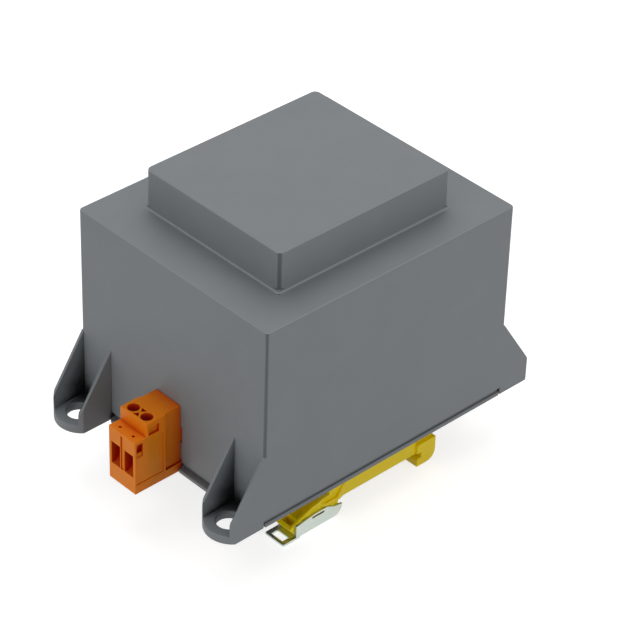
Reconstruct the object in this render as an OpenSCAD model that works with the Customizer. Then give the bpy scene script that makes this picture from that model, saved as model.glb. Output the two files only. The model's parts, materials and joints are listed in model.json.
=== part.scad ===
// Encapsulated mains transformer: a core and a two-chamber coil potted in a moulded case
// with four gusseted lugs, a two-pole clamp terminal at each end, and two rail feet under
// the base plate, each with a sprung sheet-steel slider.
// The origin is the centre of the case on the plane of the lug undersides, +Z is up and
// +X is along the case. The mains terminal is on the -X face, the load terminal on the +X face.

/* [Core] */
// Width of an outer leg of the laminations, of the yoke and of each window
leg_width = 16; // [15.5:0.1:16.5]
// Height of the stack of laminations
stack_height = 45; // [42:0.5:50]
// Height of the underside of the core above the lug plane, the space for the wiring
core_lift = 26.3; // [26.3:0.1:30]
// Diameter of the four clamping holes in the laminations
lam_hole_d = 5.8; // [4.5:0.1:6.5]

/* [Coil] */
// Wall thickness of the bobbin tube, its flanges and its divider
bobbin_wall = 1.5; // [1:0.1:2]
// How far the bobbin flanges stand out of the core stack, above and below
coil_overhang = 14.3; // [13.5:0.1:15]
// Depth from the flange edge to the taped coil
flange_margin = 1; // [0.6:0.1:2]
// Thickness of the insulating tape round each winding
tape_thickness = 0.6; // [0.4:0.1:1]
// Outer corner radius of the windings
coil_corner = 7; // [4:0.5:9]
// Diameter of an insulated lead wire
lead_d = 2.2; // [1.6:0.1:2.4]

/* [Case] */
// Wall thickness of the case
case_wall = 3; // [2.4:0.1:3.6]
// Resin gap between the core and the end walls
core_end_gap = 1.5; // [1:0.1:2.5]
// Resin gap between the core and the side walls
core_side_gap = 1.1; // [0.8:0.1:2.5]
// Gap between the coil and the end walls of the raised centre
crown_end_gap = 1.3; // [0.8:0.1:3]
// Gap between the coil and the side walls of the raised centre
crown_side_gap = 4.2; // [3:0.1:6]
// Radius of the outer edges of the case
edge_radius = 1.4; // [0.8:0.1:2]
// Radius of the fillet round the foot of the raised centre
crown_fillet = 0.9; // [0.5:0.1:1.5]
// Thickness of the base plate
plate_thickness = 2.2; // [1.8:0.1:3]
// Gap between the base plate and the lower edge of the case wall
plate_seam = 0.4; // [0.2:0.05:0.6]
// Height and depth of the step round the upper edge of the base plate
plate_step = 0.8; // [0.4:0.1:1]
// How far the base plate stands proud of the end walls
plate_lip = 1.7; // [1:0.1:2]

/* [Lugs] */
// Width of a lug along Y, gussets counted
lug_width = 15; // [14:0.1:16]
// Reach of a lug from the end wall to the rim
lug_reach = 15.6; // [15:0.1:18]
// Radius of the rounded rim
lug_rim_radius = 9.4; // [8.6:0.1:10]
// Thickness of the lug floor at the rim
lug_floor = 3.1; // [2.6:0.1:4]
// Diameter of the fixing hole
lug_hole_d = 8.4; // [6.6:0.1:9]
// Distance of the fixing hole from the end wall
lug_hole_reach = 7.6; // [7:0.1:9]
// Thickness of the two gussets of a lug
gusset_thickness = 1.2; // [1:0.1:1.8]
// Height of a gusset against the wall
gusset_height = 27.8; // [24:0.1:34]
// Height of the slope of a gusset at the tip of the rim
gusset_toe = 3.9; // [3.5:0.1:8]

/* [Terminal] */
// Distance between the two poles
pole_pitch = 6.35; // [6.25:0.01:6.6]
// Offset of the mains terminal from the centre of the end face, towards +Y
terminal_offset = 0.9; // [-3:0.1:3]
// Depth of the terminal from the case wall to its front
terminal_depth = 19.2; // [18.6:0.1:22]
// Depth of the upper step from the case wall
terminal_step_depth = 14.4; // [14.3:0.05:14.8]
// Height of the terminal
terminal_height = 25.4; // [24.6:0.1:26]
// Height of the lower front step
terminal_step_height = 20.5; // [19:0.1:21]
// Width of a wire entry
entry_width = 4.2; // [3.8:0.1:4.4]
// Height of a wire entry
entry_height = 8.4; // [7.8:0.1:8.6]
// Height of the sill of a wire entry
entry_sill = 6.3; // [5:0.1:6.6]
// Distance of the clamp screws from the case wall
screw_reach = 11.6; // [11.4:0.05:11.65]
// Diameter of the screwdriver hole above a clamp screw
driver_hole_d = 4.1; // [4:0.05:4.2]
// Thread diameter of the clamp screws
screw_d = 3; // [2.6:0.1:3]
// Thread pitch of the clamp screws
screw_pitch = 0.5; // [0.4:0.05:0.6]
// Turns from open to fully closed
screw_turns = 7; // [4:0.5:7]
// Width of a contact bar inside the cage
bar_width = 3.6; // [3:0.1:3.6]
// Thickness of a contact bar
bar_thickness = 1; // [0.8:0.1:1.2]
// Side wall thickness of a clamp cage
cage_wall = 0.7; // [0.5:0.05:0.75]

/* [Rail foot] */
// Width of the mounting rail
rail_width = 35; // [34.6:0.1:35.4]
// How far each lip reaches under the edge of the rail
rail_bite = 0.75; // [0.5:0.05:1.2]
// Height of the slot that takes the edge of the rail
rail_slot = 1.9; // [1.6:0.1:2.4]
// Offset of the rail centre from the case centre, towards +X
rail_offset = 4.45; // [2:0.05:6]
// Distance of the rail seat below the base plate
foot_height = 13.1; // [12.6:0.1:15]
// Width of the hook and of the slider along Y
foot_width = 8.8; // [8.6:0.1:10]
// Distance between the centre planes of the two feet
foot_spacing = 66.8; // [62:0.1:70]
// Length of the fixed hook along X
hook_length = 8.4; // [7.6:0.1:9.4]
// Depth of the fixed hook below the rail seat
hook_depth = 5.1; // [4.6:0.1:6]
// Radius of the outer corner of the hook
hook_radius = 3.8; // [3:0.1:5]
// Length of the guide that carries the slider
guide_length = 18.6; // [18.2:0.1:20]
// Depth of the guide below the rail seat
guide_depth = 5.6; // [5.4:0.1:6.6]
// Sheet thickness of the slider
slider_sheet = 0.8; // [0.6:0.05:1]
// Travel of the slider from closed to open
slider_travel = 3.5; // [2.5:0.1:3.5]
// Length of the pull tab in front of the guide
tab_length = 5.6; // [5:0.1:8]
// Wall thickness of the hollow strip between guide and hook
foot_wall = 1.5; // [1.2:0.1:1.8]
// Wire diameter of the slider spring
spring_wire = 0.5; // [0.3:0.05:0.6]
// Outer diameter of the slider spring
spring_d = 3; // [2.6:0.1:3.2]
// Number of turns of the slider spring
spring_turns = 5; // [4:1:6]

/* [Hidden] */

$fn = 48;
// Overlap that makes a cut or a join run past the face it meets
eps = 0.2;
// Segments in a rounded corner
corner_steps = 5;

// Core
core_length = 6 * leg_width;
core_width = 5 * leg_width;
window_length = 3 * leg_width;
core_top = core_lift + stack_height;
core_mid = core_lift + stack_height / 2;
core_back_y = -core_width / 2;
core_joint_y = core_width / 2 - leg_width;
lam_hole_x = core_length / 2 - leg_width / 2;
lam_hole_y = core_width / 2 - leg_width / 2;

// Coil
tube_clearance = 0.2;
flange_clearance = 0.3;
tube_half_x = leg_width + tube_clearance + bobbin_wall;
tube_half_z = stack_height / 2 + tube_clearance + bobbin_wall;
flange_half_x = 2 * leg_width - flange_clearance;
flange_half_z = stack_height / 2 + coil_overhang;
coil_half_y = window_length / 2 - tube_clearance;
tape_half_x = flange_half_x - flange_margin;
tape_half_z = flange_half_z - flange_margin;
winding_half_x = tape_half_x - tape_thickness;
winding_half_z = tape_half_z - tape_thickness;
coil_mid_y = (core_back_y + leg_width + core_joint_y) / 2;
chamber_inner = bobbin_wall / 2;
chamber_outer = coil_half_y - bobbin_wall;

// Case
core_top_gap = 0.2;
coil_top_gap = 0.4;
cavity_length = core_length + 2 * core_end_gap;
cavity_width = core_width + 2 * core_side_gap;
cavity_top = core_top + core_top_gap;
case_length = cavity_length + 2 * case_wall;
case_width = cavity_width + 2 * case_wall;
shoulder_height = cavity_top + case_wall;
crown_cavity_length = 2 * (flange_half_x + crown_end_gap);
crown_cavity_width = 2 * (coil_half_y + crown_side_gap);
crown_cavity_top = core_mid + flange_half_z + coil_top_gap;
crown_length = crown_cavity_length + 2 * case_wall;
crown_width = crown_cavity_width + 2 * case_wall;
crown_height = crown_cavity_top + case_wall;
wall_foot = plate_thickness + plate_seam;
end_x = case_length / 2;
side_y = case_width / 2;

// Lugs
lug_root = edge_radius + 0.1;
rim_centre = lug_reach - lug_rim_radius;
lug_mid_y = side_y - lug_width / 2;
plate_gap = 0.3;
plate_corner = 1.5;
root_depth = 0.4;
plate_edge = 3;

// Terminal, measured outwards from the end wall
terminal_width = 2 * pole_pitch;
fit_gap = 0.1;
bearing_gap = 0.05;
cage_depth = 4;
cage_width = bar_width + 2 * (cage_wall + fit_gap);
cage_bottom = 1;
cage_top = 1.5;
clamp_travel = screw_pitch * screw_turns;
screw_head_h = 1.2;
screw_head_d = driver_hole_d - 0.2;
screw_head_drop = 3.7;
screw_seat_z = terminal_height - screw_head_drop - screw_head_h;
ledge_thickness = 0.8;
ledge_z = screw_seat_z - ledge_thickness;
cage_top_z = ledge_z - clamp_travel - 0.3;
bar_top_z = cage_top_z - cage_top - fit_gap;
bar_z = bar_top_z - bar_thickness;
cage_floor_z = bar_z - clamp_travel - 0.5;
chamber_half_x = cage_depth / 2 + 0.2;
chamber_back = screw_reach - chamber_half_x;
chamber_front = screw_reach + chamber_half_x;
cage_chamber_w = cage_width + 2 * fit_gap;
entry_flat = 1.5;
probe_reach = (terminal_depth + terminal_step_depth) / 2 + 0.3;
probe_d = 1;
probe_depth = 4.5;
spigot_width = terminal_width - 0.9;
spigot_margin = 2.1;
spigot_z = bar_z - spigot_margin;
spigot_height = bar_thickness + 2 * spigot_margin;
spigot_length = case_wall + 2;
bar_tail = spigot_length + 3;
bar_tail_width = 2.6;
tag_hole_d = 1.2;
bar_front_gap = 0.1;

// Lead wires
lead_z = core_lift - lead_d / 2 - 1.7;
lead_bend = 2;
lead_1_x = 3.5;
lead_2_x = 7.5;
lead_1_y = -12;
lead_2_y = lead_1_y + pole_pitch;
lead_margin = 0.05;

// Rail foot, seen along Y
seat_z = -foot_height;
strip_width = foot_width - 2 * (slider_sheet + fit_gap);
rail_left = rail_offset - rail_width / 2;
rail_right = rail_offset + rail_width / 2;
hook_x = rail_right - rail_bite;
hook_end = hook_x + hook_length;
hook_rise = 3.8;
hook_slot_depth = rail_bite + 1.25;
hook_ledge = 0.7;
tip_x = rail_left + rail_bite;
guide_x = rail_left - 0.35;
guide_end = guide_x - guide_length;
guide_z = seat_z - guide_depth;
strip_end = guide_x - 4.1;
strip_drop = 9.5;
seat_relief = 0.15;
seat_from = tip_x + 0.2;
seat_to = hook_x - 0.2;
trough_wall = 1.2;
trough_lean = 2.6;
trough_rise = 3.5;
trough_knee = [strip_end - 7.4, seat_z + 2.2];
guide_shoulder_h = 1.5;
shoulder_crest = 4.5;
shoulder_length = 7.5;
foot_y = foot_spacing / 2;
floor_thickness = 1.6;

// Slider, seen along Y
web_top = guide_z - fit_gap;
web_z = web_top - slider_sheet;
flange_top = seat_z - fit_gap;
flange_fall = 1.2;
flange_dip = 0.1;
tip_top = seat_z - rail_slot - 0.2;
nose_radius = 5;
nose_x = tip_x - nose_radius;
nose_z = web_z + nose_radius;
flange_end = guide_end - 0.4;
tab_end = flange_end - tab_length;
catch_inset = 3;
catch_length = 5.2;
catch_right = nose_x - catch_inset;
catch_left = catch_right - catch_length;
catch_top = flange_top - 1.5;
catch_slot = 0.8;
catch_reach = 1;
push_tab_height = 3.2;
push_tab_half = 1.5;
push_tab_x = nose_x - 0.2 - slider_sheet;
pocket_length = 8.2;
pocket_x = push_tab_x - pocket_length;

// Spring pocket in the guide
pocket_half = 1.8;
pocket_top = web_top + 3.6;
spring_z = web_top + 0.15 + spring_d / 2;

// Fixing screws of the feet
foot_screw_d = 3;
foot_screw_head_d = 5.2;
foot_screw_head_h = 2;
foot_screw_x = [guide_x + 6.4, hook_x - 6.2];
foot_screw_seat = seat_z + 5.5;
foot_screw_length = -foot_screw_seat + plate_thickness + 5;
boss_d = 8;
boss_height = 8;

// Points on a circle arc, degrees
function arc(cx, cy, r, from, to, steps = corner_steps) =
    [for (i = [0:steps]) let (a = from + (to - from) * i / steps) [cx + r * cos(a), cy + r * sin(a)]];

// Outline of a rectangle with four rounded corners
function rounded_rect(w, h, r) = concat(
    arc(w / 2 - r, h / 2 - r, r, 0, 90), arc(r - w / 2, h / 2 - r, r, 90, 180),
    arc(r - w / 2, r - h / 2, r, 180, 270), arc(w / 2 - r, r - h / 2, r, 270, 360));

// Outline of an upright rectangle on the base line with two rounded upper corners
function rounded_top(w, h, r) = concat([[-w / 2, 0], [w / 2, 0]],
    arc(w / 2 - r, h - r, r, 0, 90), arc(r - w / 2, h - r, r, 90, 180));

// Outline of a skirt that runs out in a hollow fillet at both sides
function skirt(w, r) = concat(
    arc(w / 2 + r, r, r, 270, 180), arc(-w / 2 - r, r, r, 360, 270));

function unit(v) = v / norm(v);

// Path through corner points with square bends of one radius
function bent_path(p, r, steps = 4) = concat([p[0]],
    [for (i = [1:len(p) - 2])
        let (d0 = unit(p[i] - p[i - 1]), d1 = unit(p[i + 1] - p[i]), c = p[i] - r * d0 + r * d1)
        for (k = [0:steps]) c - r * cos(90 * k / steps) * d1 + r * sin(90 * k / steps) * d0],
    [p[len(p) - 1]]);

// Round wire swept along a path, with a frame that does not twist
module wire(path, r, sides = 8) {
    n = len(path);
    t = [for (i = [0:n - 1]) unit(path[min(i + 1, n - 1)] - path[max(i - 1, 0)])];
    start = abs(t[0][2]) < 0.9 ? [0, 0, 1] : [0, 1, 0];
    m = [for (i = 0, v = unit(start - (start * t[0]) * t[0]); i < n;
        i = i + 1, v = i < n ? unit(v - (v * t[i]) * t[i]) : v) v];
    points = [for (i = [0:n - 1]) for (k = [0:sides - 1]) let (a = 360 * k / sides)
        path[i] + r * (cos(a) * m[i] + sin(a) * cross(t[i], m[i]))];
    rings = [for (i = [0:n - 2]) for (k = [0:sides - 1]) let (k2 = (k + 1) % sides)
        [i * sides + k, (i + 1) * sides + k, (i + 1) * sides + k2, i * sides + k2]];
    caps = [[for (k = [0:sides - 1]) k], [for (k = [0:sides - 1]) n * sides - 1 - k]];
    polyhedron(points, concat(rings, caps));
}

// Outline in X and Z, extruded over a width centred on Y = 0
module across(width) {
    translate([0, width / 2, 0]) rotate([90, 0, 0]) linear_extrude(width) children();
}

// Outline in Y and Z, extruded over a length centred on X = 0
module along(length) {
    translate([-length / 2, 0, 0]) rotate([90, 0, 90]) linear_extrude(length) children();
}

// Box between two corners
module span(low, high) {
    translate(low) cube(high - low);
}

// Block that stands on Z = 0 with rounded upright and upper edges
module rounded_block(length, width, height, r) {
    intersection() {
        linear_extrude(height) polygon(rounded_rect(length, width, r));
        across(width) polygon(rounded_top(length, height, r));
        along(length) polygon(rounded_top(width, height, r));
    }
}

// The four corners of the case, drawn from the one at +X +Y
module each_corner() {
    for (mx = [0, 1], my = [0, 1]) mirror([mx, 0, 0]) mirror([0, my, 0]) children();
}

// The two ends of the case, drawn from the mains end
module each_end() {
    for (turn = [0, 180]) rotate([0, 0, turn]) children();
}

// Place of a mains terminal piece: X = 0 is the end wall and the block grows towards -X
module at_mains() {
    translate([-end_x, terminal_offset, 0]) children();
}

module at_load() {
    rotate([0, 0, 180]) at_mains() children();
}

function pole_y(pole) = (pole - 1.5) * pole_pitch;

// Case

// Outline of a lug seen from above, with its rounded rim
module lug_plan() {
    intersection() {
        union() {
            translate([end_x - lug_root, side_y - lug_width])
                square([rim_centre + lug_root, lug_width]);
            translate([end_x + rim_centre, lug_mid_y]) circle(r = lug_rim_radius);
        }
        translate([end_x - lug_root, side_y - lug_width])
            square([lug_reach + lug_root, lug_width]);
    }
}

// The gussets slope down to the rim and end in line with it
module lug() {
    linear_extrude(lug_floor) lug_plan();
    for (y = [side_y - gusset_thickness / 2, side_y - lug_width + gusset_thickness / 2])
        intersection() {
            linear_extrude(gusset_height) lug_plan();
            translate([end_x, y, 0]) across(gusset_thickness)
                polygon([[-lug_root, 0], [lug_reach, 0], [lug_reach, gusset_toe],
                    [0, gusset_height], [-lug_root, gusset_height]]);
        }
}

module lug_hole() {
    translate([end_x + lug_hole_reach, lug_mid_y, -eps])
        cylinder(h = lug_floor + 2 * eps, d = lug_hole_d);
}

// Room under the side wall for the end of the base plate, beside the root of a lug
module plate_end_room() {
    span([end_x - lug_root - eps, side_y - plate_edge, -eps],
        [end_x - root_depth, side_y + eps, wall_foot]);
}

module crown_skirt() {
    intersection() {
        linear_extrude(crown_fillet)
            polygon(rounded_rect(crown_length + 2 * crown_fillet, crown_width + 2 * crown_fillet,
                edge_radius + crown_fillet));
        across(crown_width + 2 * crown_fillet) polygon(skirt(crown_length, crown_fillet));
        along(crown_length + 2 * crown_fillet) polygon(skirt(crown_width, crown_fillet));
    }
}

module case_cavity(bottom) {
    span([-cavity_length / 2, -cavity_width / 2, bottom],
        [cavity_length / 2, cavity_width / 2, cavity_top]);
    span([-crown_cavity_length / 2, -crown_cavity_width / 2, cavity_top - eps],
        [crown_cavity_length / 2, crown_cavity_width / 2, crown_cavity_top]);
}

module spigot_opening() {
    at_mains() span([-eps, -spigot_width / 2 - fit_gap, spigot_z - fit_gap],
        [case_wall + eps, spigot_width / 2 + fit_gap, spigot_z + spigot_height + fit_gap]);
}

module case_shell() color("#7b8083") {
    difference() {
        union() {
            translate([0, 0, wall_foot])
                rounded_block(case_length, case_width, shoulder_height - wall_foot, edge_radius);
            translate([0, 0, shoulder_height - case_wall])
                rounded_block(crown_length, crown_width,
                    crown_height - shoulder_height + case_wall, edge_radius);
            translate([0, 0, shoulder_height]) crown_skirt();
            each_corner() lug();
        }
        case_cavity(wall_foot - eps);
        each_corner() lug_hole();
        each_corner() plate_end_room();
        each_end() spigot_opening();
    }
}

module boss_places() {
    for (y = [-foot_y, foot_y], x = foot_screw_x) translate([x, y, 0]) children();
}

// Step that leaves a dark groove under the foot of the wall
module plate_rebate() {
    translate([0, 0, plate_thickness - plate_step]) linear_extrude(plate_step + eps)
        difference() {
            square([2 * (end_x + plate_lip + eps), case_width + 2 * eps], center = true);
            square([case_length - 2 * plate_step, case_width - 2 * plate_step], center = true);
        }
}

module base_plate() color("#6f7477") {
    under_wall = 2 * (end_x - lug_root - plate_gap);
    lip_length = 2 * (end_x + plate_lip);
    lip_width = 2 * (side_y - lug_width - plate_gap);
    side_edge = 2 * (end_x - root_depth - plate_gap);
    difference() {
        union() {
            linear_extrude(plate_thickness) square([under_wall, case_width], center = true);
            linear_extrude(plate_thickness)
                polygon(rounded_rect(lip_length, lip_width, plate_corner));
            for (my = [0, 1]) mirror([0, my, 0])
                span([-side_edge / 2, side_y - plate_edge + plate_gap, 0],
                    [side_edge / 2, side_y, plate_thickness]);
            boss_places() cylinder(h = plate_thickness + boss_height, d = boss_d);
        }
        each_end() at_mains()
            span([-plate_lip - eps, -terminal_width / 2 - plate_gap, -eps],
                [plate_gap, terminal_width / 2 + plate_gap, plate_thickness + eps]);
        plate_rebate();
        boss_places() translate([0, 0, -eps])
            cylinder(h = foot_screw_length + foot_screw_seat + eps + 1, d = foot_screw_d);
    }
}

// Core and coil

module lam_holes(d) {
    for (x = [-lam_hole_x, lam_hole_x], y = [-lam_hole_y, lam_hole_y])
        translate([x, y, core_lift - eps]) cylinder(h = stack_height + 2 * eps, d = d);
}

module core_e_blank() {
    half = core_length / 2;
    span([-half, core_back_y, core_lift], [half, core_back_y + leg_width, core_top]);
    for (x = [-half, -leg_width, half - leg_width])
        span([x, core_back_y, core_lift],
            [x + (x == -leg_width ? 2 : 1) * leg_width, core_joint_y, core_top]);
}

module core_i_blank() {
    span([-core_length / 2, core_joint_y, core_lift], [core_length / 2, core_width / 2, core_top]);
}

module core_e_stack() color("#4b4e52") {
    difference() {
        core_e_blank();
        lam_holes(lam_hole_d);
    }
}

module core_i_stack() color("#565a5f") {
    difference() {
        core_i_blank();
        lam_holes(lam_hole_d);
    }
}

module flange(y) {
    translate([0, coil_mid_y + y, core_mid])
        cube([2 * flange_half_x, bobbin_wall, 2 * flange_half_z], center = true);
}

module coil_bobbin() color("#e8e6dc") {
    difference() {
        union() {
            translate([0, coil_mid_y, core_mid])
                cube([2 * tube_half_x, 2 * coil_half_y, 2 * tube_half_z], center = true);
            for (y = [-coil_half_y + bobbin_wall / 2, 0, coil_half_y - bobbin_wall / 2]) flange(y);
        }
        translate([0, coil_mid_y, core_mid])
            cube([2 * (tube_half_x - bobbin_wall), 2 * coil_half_y + 2 * eps,
                2 * (tube_half_z - bobbin_wall)], center = true);
    }
}

// Outline of a coil in X and Z with rounded corners, about the middle of the core
module coil_outline(half_x, half_z, r) {
    translate([0, core_mid]) polygon(rounded_rect(2 * half_x, 2 * half_z, r));
}

// Ring that fills one chamber of the bobbin, on the side given by its sign
module chamber_ring(side) {
    length = chamber_outer - chamber_inner;
    translate([0, coil_mid_y + side * (chamber_inner + length / 2), 0]) across(length) children();
}

module winding(side) {
    chamber_ring(side) difference() {
        coil_outline(winding_half_x, winding_half_z, coil_corner);
        translate([0, core_mid]) square([2 * tube_half_x, 2 * tube_half_z], center = true);
    }
}

module tape_outline() {
    coil_outline(tape_half_x, tape_half_z, coil_corner + tape_thickness);
}

module tape(side) {
    difference() {
        chamber_ring(side) difference() {
            tape_outline();
            coil_outline(winding_half_x, winding_half_z, coil_corner);
        }
        rotate([0, 0, side < 0 ? 0 : 180]) for (y = [lead_1_y, lead_2_y])
            translate([-tape_half_x - eps, y, lead_z]) rotate([0, 90, 0])
                cylinder(h = tape_thickness + 2 * eps, d = lead_d + 2 * fit_gap);
    }
}

module primary_winding() color("#a4552a") winding(-1);
module secondary_winding() color("#b8652f") winding(1);
module primary_tape() color("#e2c34a") tape(-1);
module secondary_tape() color("#d8b840") tape(1);

// Lead from a contact bar up and across to the coil, drawn for the mains end
module lead(pole, x, y, r) {
    start = [bar_tail - end_x, terminal_offset + pole_y(pole), bar_z + bar_thickness / 2];
    turn_x = start[0] + x;
    wire(bent_path([start, [turn_x, start[1], start[2]], [turn_x, start[1], lead_z],
        [turn_x, y, lead_z], [-winding_half_x, y, lead_z]], lead_bend), r);
}

module leads(r) {
    lead(1, lead_1_x, lead_1_y, r);
    lead(2, lead_2_x, lead_2_y, r);
}

module primary_leads() color("#2f4f9a") leads(lead_d / 2);
module secondary_leads() color("#b02a24") rotate([0, 0, 180]) leads(lead_d / 2);

// Resin that fills the case round everything in it
module potting_compound() color("#2e2c2a") {
    window_half = 2 * leg_width;
    difference() {
        case_cavity(plate_thickness);
        core_e_blank();
        core_i_blank();
        translate([0, coil_mid_y, core_mid])
            cube([2 * window_half, window_length, stack_height], center = true);
        for (y = [-coil_half_y + bobbin_wall / 2, 0, coil_half_y - bobbin_wall / 2]) flange(y);
        for (side = [-1, 1]) chamber_ring(side) tape_outline();
        each_end() {
            leads(lead_d / 2 + lead_margin);
            at_mains() for (pole = [1, 2]) bar_blank(pole);
            at_mains() spigot();
        }
        boss_places() cylinder(h = plate_thickness + boss_height + lead_margin,
            d = boss_d + 2 * lead_margin);
    }
    lam_plugs();
}

// Resin that ran into the lamination holes, from the layer below to the layer above
module lam_plugs() {
    for (x = [-lam_hole_x, lam_hole_x], y = [-lam_hole_y, lam_hole_y])
        translate([x, y, core_lift - core_top_gap])
            cylinder(h = stack_height + 2 * core_top_gap, d = lam_hole_d - 2 * lead_margin);
}

// Terminal, drawn with the end wall at X = 0, the middle of the block at Y = 0

module spigot() {
    span([-eps, -spigot_width / 2, spigot_z],
        [spigot_length, spigot_width / 2, spigot_z + spigot_height]);
}

module terminal_body() {
    half = terminal_width / 2;
    span([-terminal_depth, -half, 0], [0, half, terminal_step_height]);
    span([-terminal_step_depth, -half, 0], [0, half, terminal_height]);
    spigot();
}

// Wire entry with a ramp that leads the wire up into the open cage
module entry_cut() {
    top = entry_sill + entry_height;
    across(entry_width) polygon([[-terminal_depth - eps, entry_sill],
        [-terminal_depth + entry_flat, entry_sill], [-chamber_front, cage_floor_z],
        [-chamber_front + eps, cage_floor_z], [-chamber_front + eps, top],
        [-terminal_depth - eps, top]]);
}

module cage_chamber() {
    span([-chamber_front, -cage_chamber_w / 2, -eps],
        [-chamber_back, cage_chamber_w / 2, ledge_z]);
}

module pole_cuts() {
    entry_cut();
    cage_chamber();
    translate([-screw_reach, 0, ledge_z - eps])
        cylinder(h = ledge_thickness + 2 * eps, d = screw_d + 2 * fit_gap);
    translate([-screw_reach, 0, screw_seat_z])
        cylinder(h = screw_head_h + screw_head_drop + eps, d = driver_hole_d);
    translate([-probe_reach, 0, terminal_step_height - probe_depth])
        cylinder(h = probe_depth + eps, d = probe_d);
    span([-chamber_back - eps, -bar_width / 2 - bearing_gap, bar_z],
        [spigot_length + eps, bar_width / 2 + bearing_gap, bar_top_z + bearing_gap]);
}

// Two triangular recesses between the screwdriver holes
module bow_tie() {
    reach = 1.9;
    half = 1.2;
    depth = 1.2;
    for (turn = [0, 180]) translate([-screw_reach, 0, terminal_height - depth])
        rotate([0, 0, turn]) linear_extrude(depth + eps)
            polygon([[0.35, 0], [reach, -half], [reach, half]]);
}

// Recesses of one side face, drawn on the side at -Y
module side_relief() {
    face = -terminal_width / 2;
    band_top = terminal_step_height - 1.4;
    band_bottom = 3.4;
    rib_back = 6.6;
    rib_front = 7.6;
    panel = 0.3;
    span([-terminal_depth + 0.6, face - eps, band_bottom], [-rib_front, face + panel, band_top]);
    span([-rib_back, face - eps, band_bottom], [eps, face + 2 * panel, terminal_height + eps]);
    span([-terminal_depth + 1, face - eps, entry_sill + 7.4],
        [-terminal_depth + 3.5, face + 0.8, band_top]);
    span([-terminal_depth + 1, face - eps, entry_sill + entry_height + 0.5],
        [-terminal_depth + 3.5, face + 2.2, band_top]);
    span([-terminal_step_depth + 1, face - eps, terminal_step_height],
        [-rib_front - 1.6, face + 0.9, terminal_height - 1.9]);
}

module terminal_housing() {
    groove_width = 1.4;
    groove_depth = 0.5;
    difference() {
        terminal_body();
        for (pole = [1, 2]) translate([0, pole_y(pole), 0]) pole_cuts();
        bow_tie();
        span([-terminal_depth - eps, -groove_width / 2, entry_sill],
            [-terminal_depth + groove_depth, groove_width / 2, terminal_step_height - 1.2]);
        for (my = [0, 1]) mirror([0, my, 0]) side_relief();
    }
}

module clamp_screw(pole) {
    slot_width = 0.7;
    slot_depth = 0.7;
    tip_z = bar_top_z + fit_gap + bearing_gap;
    head_top = screw_seat_z + screw_head_h;
    translate([-screw_reach, pole_y(pole), 0]) difference() {
        union() {
            translate([0, 0, screw_seat_z]) cylinder(h = screw_head_h, d = screw_head_d);
            translate([0, 0, tip_z])
                cylinder(h = screw_seat_z + bearing_gap - tip_z, d = screw_d);
        }
        rotate([0, 0, 30]) translate([0, 0, head_top])
            cube([2 * screw_head_d, slot_width, 2 * slot_depth], center = true);
    }
}

// Cage that the screw lifts towards the contact bar
module clamp_cage(pole) {
    half_x = cage_depth / 2;
    floor_z = cage_floor_z - cage_bottom;
    translate([-screw_reach, pole_y(pole), 0]) difference() {
        span([-half_x, -cage_width / 2, floor_z], [half_x, cage_width / 2, cage_top_z]);
        span([-half_x - eps, cage_wall - cage_width / 2, cage_floor_z],
            [half_x + eps, cage_width / 2 - cage_wall, cage_top_z - cage_top]);
        translate([0, 0, cage_top_z - cage_top - eps])
            cylinder(h = cage_top + 2 * eps, d = screw_d + 2 * bearing_gap);
    }
}

module bar_outline() {
    front = chamber_front - bar_front_gap;
    polygon([[-front, -bar_width / 2], [0, -bar_width / 2], [2, -bar_tail_width / 2],
        [bar_tail, -bar_tail_width / 2], [bar_tail, bar_tail_width / 2],
        [2, bar_tail_width / 2], [0, bar_width / 2], [-front, bar_width / 2]]);
}

module bar_blank(pole) {
    translate([0, pole_y(pole), bar_z]) linear_extrude(bar_thickness) bar_outline();
}

module contact_bar(pole) {
    difference() {
        bar_blank(pole);
        translate([bar_tail - 1.5, pole_y(pole), bar_z - eps])
            cylinder(h = bar_thickness + 2 * eps, d = tag_hole_d);
    }
}

module mains_terminal_housing() color("#d0702a") at_mains() terminal_housing();
module mains_clamp_screw_1() color("#c9ccce") at_mains() clamp_screw(1);
module mains_clamp_screw_2() color("#c9ccce") at_mains() clamp_screw(2);
module mains_clamp_cage_1() color("#b9a15a") at_mains() clamp_cage(1);
module mains_clamp_cage_2() color("#b9a15a") at_mains() clamp_cage(2);
module mains_contact_bar_1() color("#c58a4a") at_mains() contact_bar(1);
module mains_contact_bar_2() color("#c58a4a") at_mains() contact_bar(2);
module load_terminal_housing() color("#d0702a") at_load() terminal_housing();
module load_clamp_screw_1() color("#c9ccce") at_load() clamp_screw(1);
module load_clamp_screw_2() color("#c9ccce") at_load() clamp_screw(2);
module load_clamp_cage_1() color("#b9a15a") at_load() clamp_cage(1);
module load_clamp_cage_2() color("#b9a15a") at_load() clamp_cage(2);
module load_contact_bar_1() color("#c58a4a") at_load() contact_bar(1);
module load_contact_bar_2() color("#c58a4a") at_load() contact_bar(2);

// Rail foot, drawn with its centre plane at Y = 0

module hook_outline() {
    centre_x = hook_end - hook_radius;
    centre_z = seat_z - hook_depth + hook_radius;
    polygon(concat([[hook_x, seat_z + hook_rise], [hook_end, seat_z + hook_rise]],
        arc(centre_x, centre_z, hook_radius, 0, -90),
        [[hook_x, seat_z - hook_depth]]));
}

// The rail seat stands a little proud of the rest of the underside
module strip_outline() {
    relief_z = seat_z + seat_relief;
    polygon([[strip_end, 0], [hook_end, 0], [hook_end, relief_z], [seat_to, relief_z],
        [seat_to, seat_z], [seat_from, seat_z], [seat_from, relief_z], [strip_end, relief_z]]);
}

// Narrower end of the strip, which leaves a ledge on the hook
module hook_ledge_cuts() {
    for (my = [0, 1]) mirror([0, my, 0])
        span([hook_x, strip_width / 2 - hook_ledge, seat_z + hook_rise],
            [hook_end + eps, foot_width, -eps]);
}

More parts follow.
